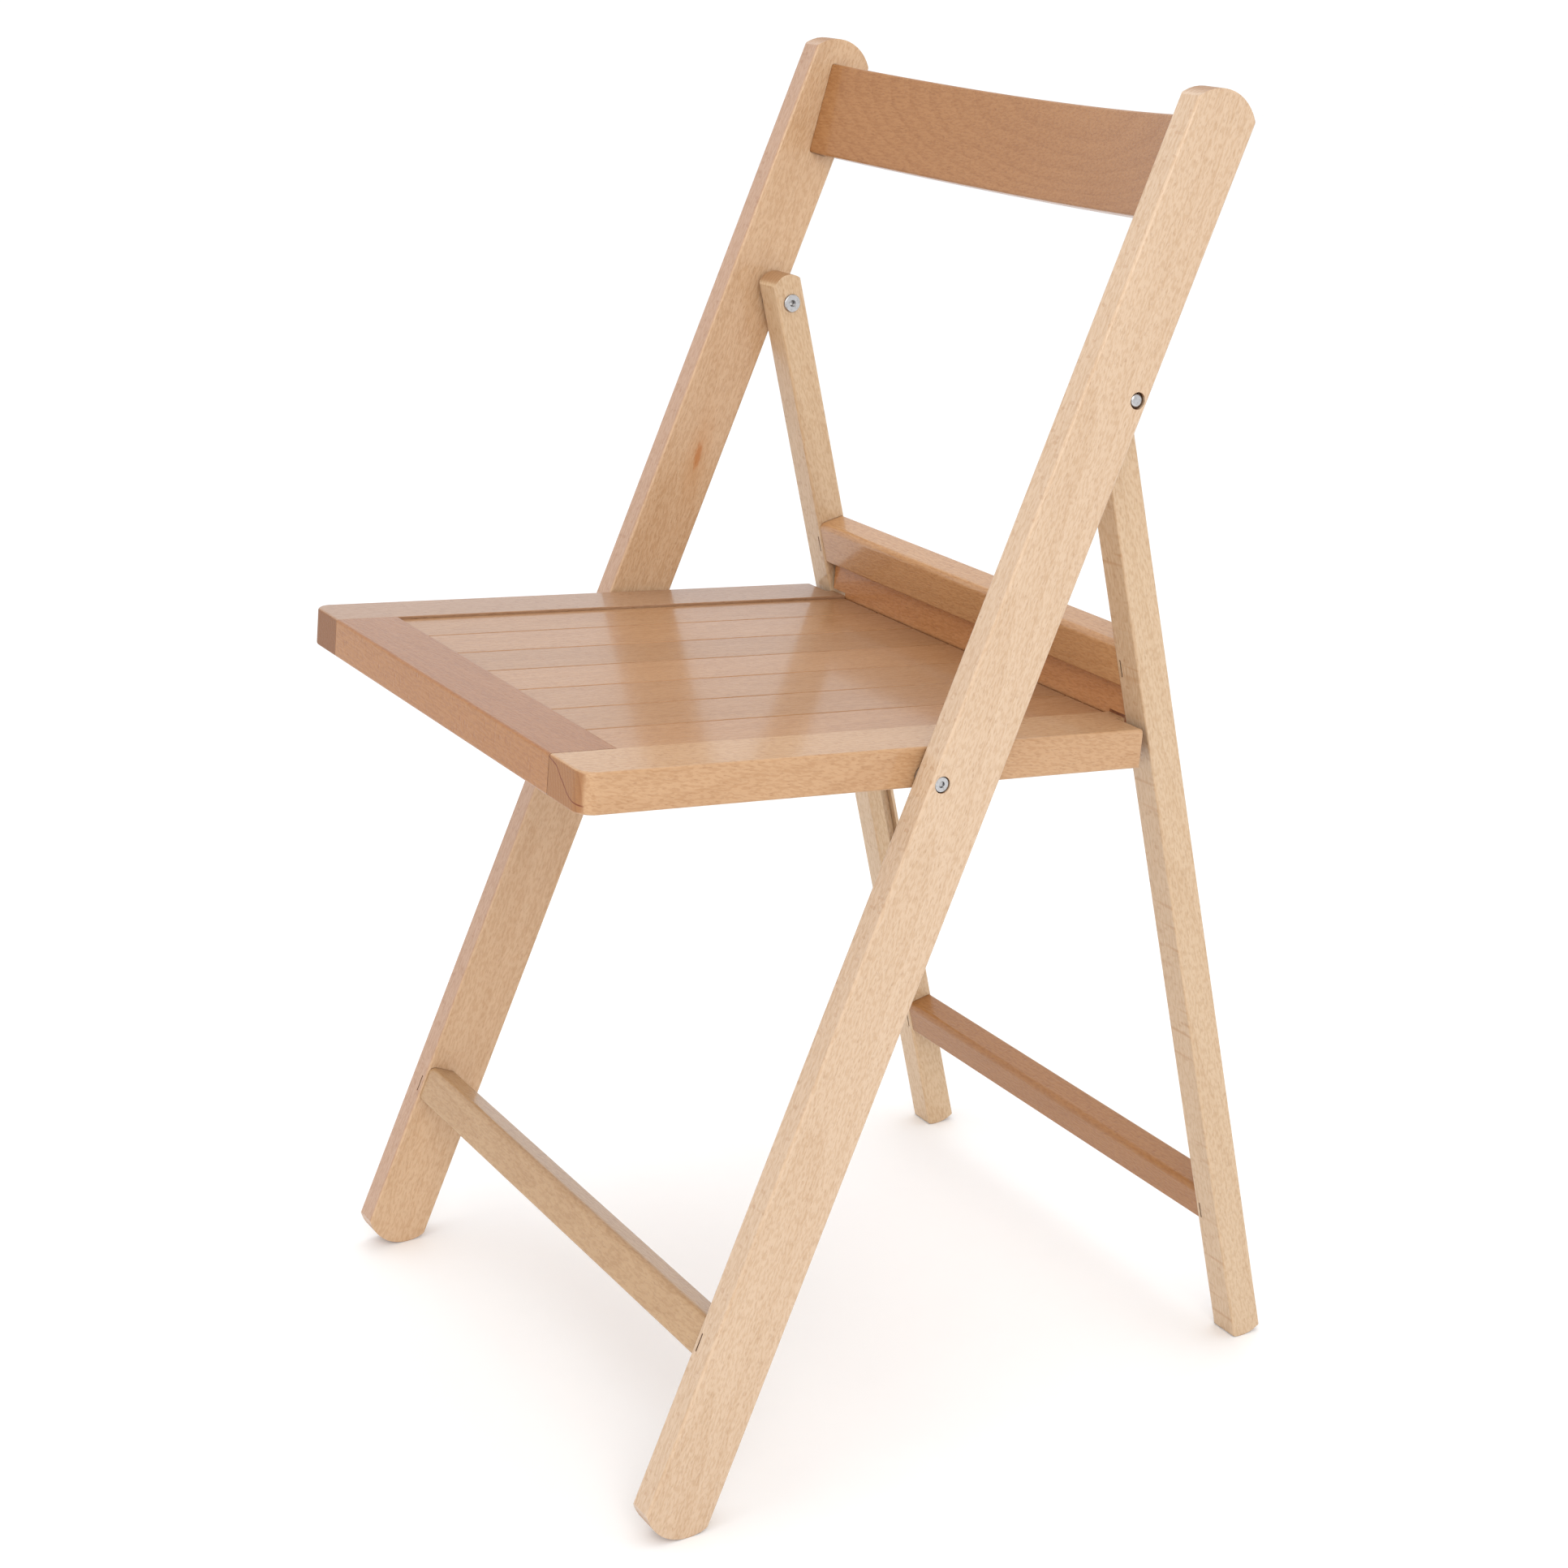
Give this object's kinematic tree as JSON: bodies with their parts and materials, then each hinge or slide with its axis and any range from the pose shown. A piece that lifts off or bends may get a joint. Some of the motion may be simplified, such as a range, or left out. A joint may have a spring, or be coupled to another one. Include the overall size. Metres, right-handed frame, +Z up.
{
  "type": "folding chair",
  "caption": "Wooden folding chair with a slatted seat, a curved back slat and two crossing leg frames that fold flat",
  "frame": {"origin": "On the floor, under the middle of the chair's outline, with the chair unfolded and standing.", "axes": "+X to the sitter's left, +Y to the rear, +Z up. The sitter faces -Y."},
  "size_m": [0.43, 0.4828, 0.8031],
  "materials": {
    "beech": "clear semi-gloss lacquer on beech",
    "backrest_beech": "clear semi-gloss lacquer on beech, a little browner",
    "pivot_steel": "dull plated steel",
    "staple_steel": "dark uncoated steel"
  },
  "bodies": {
    "front_frame": {"left_post": "beech", "right_post": "beech", "backrest_slat": "backrest_beech", "front_stretcher": "beech", "front_frame_staples": "staple_steel", "leg_pivot_bolts": "pivot_steel", "leg_pivot_spacers": "pivot_steel", "seat_pivot_pins": "pivot_steel", "seat_pivot_washers": "pivot_steel"},
    "rear_frame": {"left_rear_leg": "beech", "right_rear_leg": "beech", "rear_upper_rail": "beech", "rear_lower_stretcher": "beech", "rear_frame_staples": "staple_steel", "leg_pivot_sleeve_nuts": "pivot_steel"},
    "seat": {"seat_left_rail": "beech", "seat_right_rail": "beech", "seat_front_rail": "beech", "seat_slat_1": "beech", "seat_slat_2": "beech", "seat_slat_3": "beech", "seat_slat_4": "beech", "seat_slat_5": "beech", "seat_slat_6": "beech", "seat_slat_7": "beech", "seat_rear_bar": "beech", "seat_guide_pins": "pivot_steel"}
  },
  "joints": [
    {"name": "seat_fold", "type": "hinge", "parent": "front_frame", "child": "seat", "pos_m": [0, -0.02624, 0.42689], "axis": [-1, 0, 0], "range_deg": [0, 107]},
    {"name": "rear_frame_fold", "type": "hinge", "parent": "front_frame", "child": "rear_frame", "pos_m": [0, 0.10023, 0.63248], "axis": [-1, 0, 0], "range_deg": [0, 26.75]}
  ],
  "couplings": [
    {"joint": "rear_frame_fold", "follows": "seat_fold", "ratio": 0.25}
  ]
}
